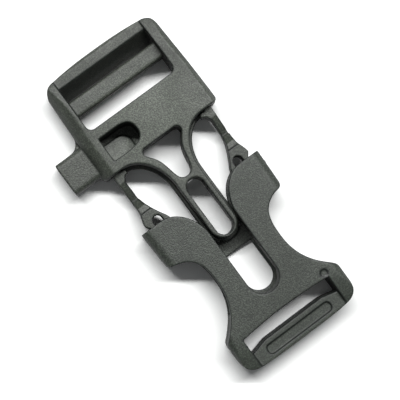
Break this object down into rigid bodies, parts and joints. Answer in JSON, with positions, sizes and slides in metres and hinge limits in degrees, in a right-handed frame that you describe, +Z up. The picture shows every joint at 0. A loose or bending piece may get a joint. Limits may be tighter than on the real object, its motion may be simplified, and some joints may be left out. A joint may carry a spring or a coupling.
{
  "type": "side-release buckle",
  "caption": "Side-release buckle for 20 mm webbing: a socket and a latch half with spring arms, a two-slot webbing adjuster and a moulded-in whistle.",
  "frame": {"origin": "on the centreline, at the socket's mouth, on the underside plane", "axes": "+Y along the webbing toward the adjuster bars, +X across the webbing away from the mouthpiece, +Z up through the face with the whistle's window"},
  "size_m": [0.0346, 0.071, 0.0076],
  "materials": {
    "socket_plastic": "dark grey-green acetal, satin with a fine spark-eroded speckle",
    "latch_plastic": "dark grey-green acetal, satin with a fine spark-eroded speckle"
  },
  "bodies": {
    "socket": {"socket_body": "socket_plastic"},
    "latch": {"latch_frame": "latch_plastic"},
    "left_arm": {"left_spring_arm": "latch_plastic"},
    "right_arm": {"right_spring_arm": "latch_plastic"}
  },
  "joints": [
    {"name": "latch_slide", "type": "slide", "parent": "socket", "child": "latch", "axis": [0, 1, 0], "range_m": [-0.0125, 0.012]},
    {"name": "right_arm_bend", "type": "hinge", "parent": "latch", "child": "right_arm", "pos_m": [0.01125, 0.014, 0.0038], "axis": [0, 0, 1], "range_deg": [-2.5, 5], "stiffness_Nm_per_rad": 0.02, "springref_deg": 5},
    {"name": "left_arm_bend", "type": "hinge", "parent": "latch", "child": "left_arm", "pos_m": [-0.01125, 0.014, 0.0038], "axis": [0, 0, -1], "range_deg": [-2.5, 5], "stiffness_Nm_per_rad": 0.02, "springref_deg": 5}
  ]
}
